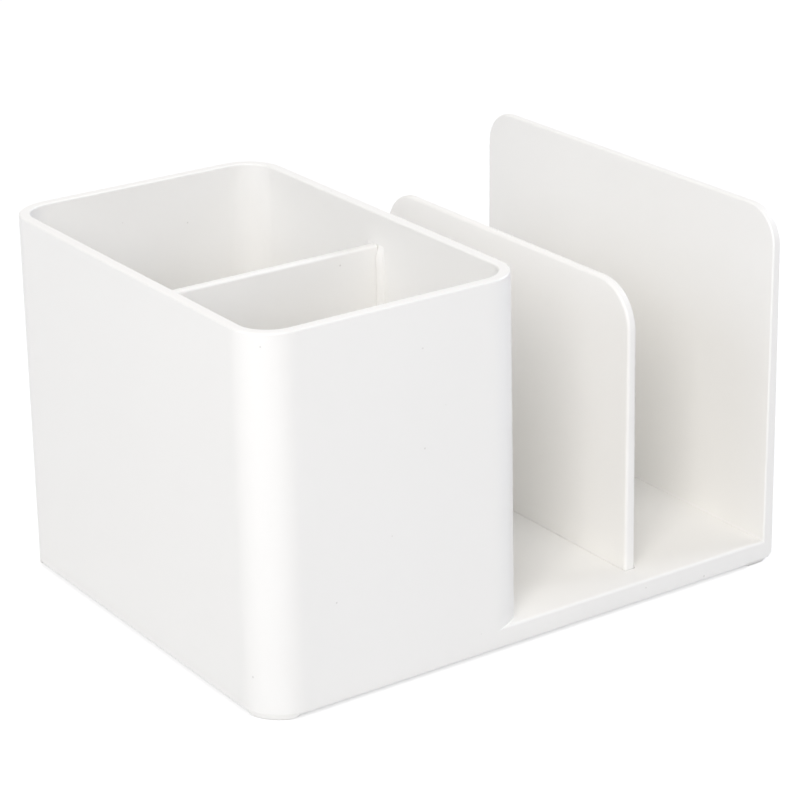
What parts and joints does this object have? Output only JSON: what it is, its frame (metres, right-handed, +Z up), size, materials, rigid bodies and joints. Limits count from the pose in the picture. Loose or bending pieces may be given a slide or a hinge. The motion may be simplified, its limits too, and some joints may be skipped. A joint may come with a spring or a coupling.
{
  "type": "desk organizer",
  "caption": "White moulded desk organizer: an open pen box with rounded corners and a lift-out divider, beside upright panels that hold cards and papers on a low base.",
  "frame": {"origin": "middle of the footprint, on the desk", "axes": "+X along the front from the pen box to the end panel, +Y from the front to the back, +Z up"},
  "size_m": [0.17, 0.132, 0.105],
  "materials": {
    "white_abs": "satin moulded",
    "white_abs_cover": "fine matt moulded",
    "zinc_plated_steel": "zinc plated",
    "white_elastomer": "soft matt"
  },
  "bodies": {
    "organizer": {"organizer_body": "white_abs", "middle_panel": "white_abs", "base_cover": "white_abs_cover", "cover_screw_front_left": "zinc_plated_steel", "cover_screw_front_right": "zinc_plated_steel", "cover_screw_back_left": "zinc_plated_steel", "cover_screw_back_right": "zinc_plated_steel", "foot_front_left": "white_elastomer", "foot_front_right": "white_elastomer", "foot_back_left": "white_elastomer", "foot_back_right": "white_elastomer"},
    "divider": {"pen_divider": "white_abs"}
  },
  "joints": [
    {"name": "divider_lift", "type": "slide", "parent": "organizer", "child": "divider", "axis": [0, 0, 1], "range_m": [0, 0.1]}
  ]
}
